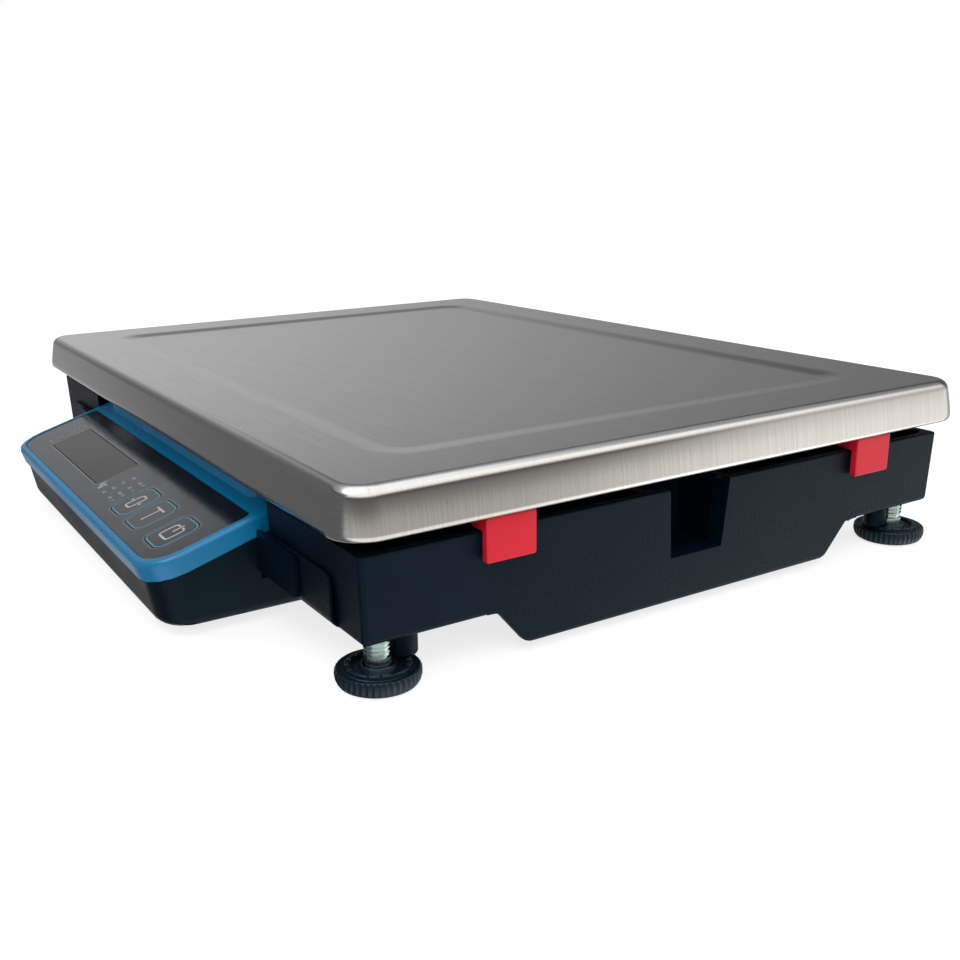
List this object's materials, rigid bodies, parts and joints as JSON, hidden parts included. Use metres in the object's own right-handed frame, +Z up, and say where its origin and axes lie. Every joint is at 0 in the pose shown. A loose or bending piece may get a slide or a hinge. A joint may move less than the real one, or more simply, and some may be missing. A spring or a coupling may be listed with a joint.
{
  "type": "bench scale",
  "caption": "Low bench scale: a folded steel platter on a cast tray with levelling feet and red transport clips, and a sloping display with keys in front.",
  "frame": {"origin": "on the ground, under the middle of the overall box", "axes": "+X to the scale's right, +Y away from the display, +Z up"},
  "size_m": [0.4, 0.338, 0.0732],
  "materials": {
    "platter_steel": "brushed stainless steel, satin",
    "casting_paint": "black fine-texture powder coat",
    "bracket_paint": "black fine-texture powder coat on bent sheet",
    "bare_aluminium": "milled aluminium",
    "cast_aluminium": "die-cast aluminium",
    "zinc_plate": "bright zinc plating on steel",
    "clip_red": "red moulded plastic, slightly glossy",
    "bezel_blue": "blue moulded plastic, fine texture",
    "housing_black": "black moulded plastic, fine texture",
    "foot_black": "black moulded plastic",
    "label_foil": "dark grey fine-textured foil",
    "window_clear": "smoked glossy window",
    "buffer_rubber": "black rubber",
    "board_green": "green circuit board",
    "cable_jacket": "dark grey cable jacket"
  },
  "bodies": {
    "tray": {"base_casting": "casting_paint", "display_bracket": "bracket_paint", "load_cell": "bare_aluminium", "platter_spider": "cast_aluminium", "cell_spacer": "zinc_plate", "lcd_module": "zinc_plate", "cell_base_screw_1": "zinc_plate", "cell_base_screw_2": "zinc_plate", "cell_spider_screw_1": "zinc_plate", "cell_spider_screw_2": "zinc_plate", "bracket_screw_left_1": "zinc_plate", "bracket_screw_left_2": "zinc_plate", "bracket_screw_right_1": "zinc_plate", "bracket_screw_right_2": "zinc_plate", "housing_screw_1": "zinc_plate", "housing_screw_2": "zinc_plate", "housing_screw_3": "zinc_plate", "housing_screw_4": "zinc_plate", "overload_stop_front_right": "zinc_plate", "platter_buffer_front_right": "buffer_rubber", "overload_stop_front_left": "zinc_plate", "platter_buffer_front_left": "buffer_rubber", "overload_stop_rear_right": "zinc_plate", "platter_buffer_rear_right": "buffer_rubber", "overload_stop_rear_left": "zinc_plate", "platter_buffer_rear_left": "buffer_rubber", "display_bezel": "bezel_blue", "display_housing": "housing_black", "power_inlet": "housing_black", "keypad_label": "label_foil", "display_window": "window_clear", "display_board": "board_green", "cell_cable": "cable_jacket", "supply_lead": "cable_jacket"},
    "platter": {"platter": "platter_steel"},
    "clip_front_right": {"transport_clip_front_right": "clip_red"},
    "clip_front_left": {"transport_clip_front_left": "clip_red"},
    "clip_rear_right": {"transport_clip_rear_right": "clip_red"},
    "clip_rear_left": {"transport_clip_rear_left": "clip_red"},
    "key_zero": {"key_zero": "label_foil"},
    "key_tare": {"key_tare": "label_foil"},
    "key_power": {"key_power": "label_foil"},
    "stud_front_right": {"foot_stud_front_right": "zinc_plate"},
    "disc_front_right": {"foot_disc_front_right": "foot_black"},
    "stud_front_left": {"foot_stud_front_left": "zinc_plate"},
    "disc_front_left": {"foot_disc_front_left": "foot_black"},
    "stud_rear_right": {"foot_stud_rear_right": "zinc_plate"},
    "disc_rear_right": {"foot_disc_rear_right": "foot_black"},
    "stud_rear_left": {"foot_stud_rear_left": "zinc_plate"},
    "disc_rear_left": {"foot_disc_rear_left": "foot_black"}
  },
  "joints": [
    {"name": "platter_lift", "type": "slide", "parent": "tray", "child": "platter", "axis": [0, 0, 1], "range_m": [0, 0.12]},
    {"name": "clip_front_right_pull", "type": "slide", "parent": "tray", "child": "clip_front_right", "axis": [1, 0, 0], "range_m": [0, 0.025]},
    {"name": "clip_front_left_pull", "type": "slide", "parent": "tray", "child": "clip_front_left", "axis": [-1, 0, 0], "range_m": [0, 0.025]},
    {"name": "clip_rear_right_pull", "type": "slide", "parent": "tray", "child": "clip_rear_right", "axis": [1, 0, 0], "range_m": [0, 0.025]},
    {"name": "clip_rear_left_pull", "type": "slide", "parent": "tray", "child": "clip_rear_left", "axis": [-1, 0, 0], "range_m": [0, 0.025]},
    {"name": "key_zero_press", "type": "slide", "parent": "tray", "child": "key_zero", "axis": [0, 0.2924, -0.9563], "range_m": [0, 0.0006], "stiffness_N_per_m": 1000},
    {"name": "key_tare_press", "type": "slide", "parent": "tray", "child": "key_tare", "axis": [0, 0.2924, -0.9563], "range_m": [0, 0.0006], "stiffness_N_per_m": 1000},
    {"name": "key_power_press", "type": "slide", "parent": "tray", "child": "key_power", "axis": [0, 0.2924, -0.9563], "range_m": [0, 0.0006], "stiffness_N_per_m": 1000},
    {"name": "foot_front_right_height", "type": "slide", "parent": "tray", "child": "stud_front_right", "axis": [0, 0, -1], "range_m": [-0.0005, 0.008]},
    {"name": "foot_front_right_turn", "type": "hinge", "parent": "stud_front_right", "child": "disc_front_right", "pos_m": [0.1819, -0.11193, 0], "axis": [0, 0, -1], "range_deg": [-121, 1921]},
    {"name": "foot_front_left_height", "type": "slide", "parent": "tray", "child": "stud_front_left", "axis": [0, 0, -1], "range_m": [-0.0005, 0.008]},
    {"name": "foot_front_left_turn", "type": "hinge", "parent": "stud_front_left", "child": "disc_front_left", "pos_m": [-0.1819, -0.11193, 0], "axis": [0, 0, -1], "range_deg": [-121, 1921]},
    {"name": "foot_rear_right_height", "type": "slide", "parent": "tray", "child": "stud_rear_right", "axis": [0, 0, -1], "range_m": [-0.0005, 0.008]},
    {"name": "foot_rear_right_turn", "type": "hinge", "parent": "stud_rear_right", "child": "disc_rear_right", "pos_m": [0.1819, 0.14987, 0], "axis": [0, 0, -1], "range_deg": [-121, 1921]},
    {"name": "foot_rear_left_height", "type": "slide", "parent": "tray", "child": "stud_rear_left", "axis": [0, 0, -1], "range_m": [-0.0005, 0.008]},
    {"name": "foot_rear_left_turn", "type": "hinge", "parent": "stud_rear_left", "child": "disc_rear_left", "pos_m": [-0.1819, 0.14987, 0], "axis": [0, 0, -1], "range_deg": [-121, 1921]}
  ],
  "couplings": [
    {"joint": "foot_front_right_turn", "follows": "foot_front_right_height", "rad_per_m": 4188.8},
    {"joint": "foot_front_left_turn", "follows": "foot_front_left_height", "rad_per_m": 4188.8},
    {"joint": "foot_rear_right_turn", "follows": "foot_rear_right_height", "rad_per_m": 4188.8},
    {"joint": "foot_rear_left_turn", "follows": "foot_rear_left_height", "rad_per_m": 4188.8}
  ]
}
